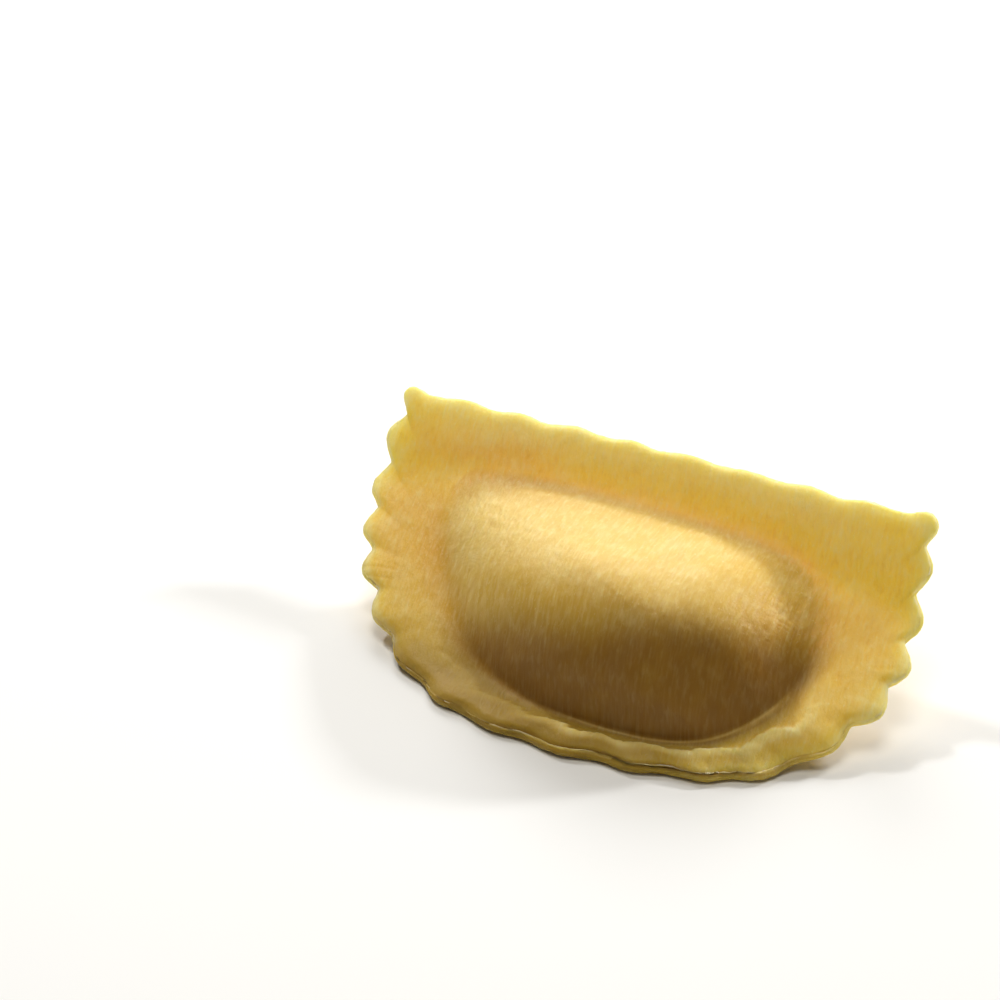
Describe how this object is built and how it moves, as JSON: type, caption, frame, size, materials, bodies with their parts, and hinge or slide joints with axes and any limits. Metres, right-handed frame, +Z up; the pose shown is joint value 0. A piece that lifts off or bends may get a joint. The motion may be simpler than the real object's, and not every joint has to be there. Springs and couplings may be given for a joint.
{
  "type": "panzerotto",
  "caption": "Raw filled half-moon pasta parcel with a fluted pressed edge, lying on its belly with the straight edge turned up.",
  "frame": {"origin": "middle of the bounding box in plan, on the table that the parcel lies on", "axes": "+X along the straight edge towards the right ear, +Y from the front of the curved edge towards the straight edge, +Z up"},
  "size_m": [0.0736, 0.0382, 0.0207],
  "materials": {
    "dough": "raw egg pasta, satin, a little translucent at thin edges"
  },
  "bodies": {
    "root": {"panzerotto": "dough"}
  },
  "joints": []
}
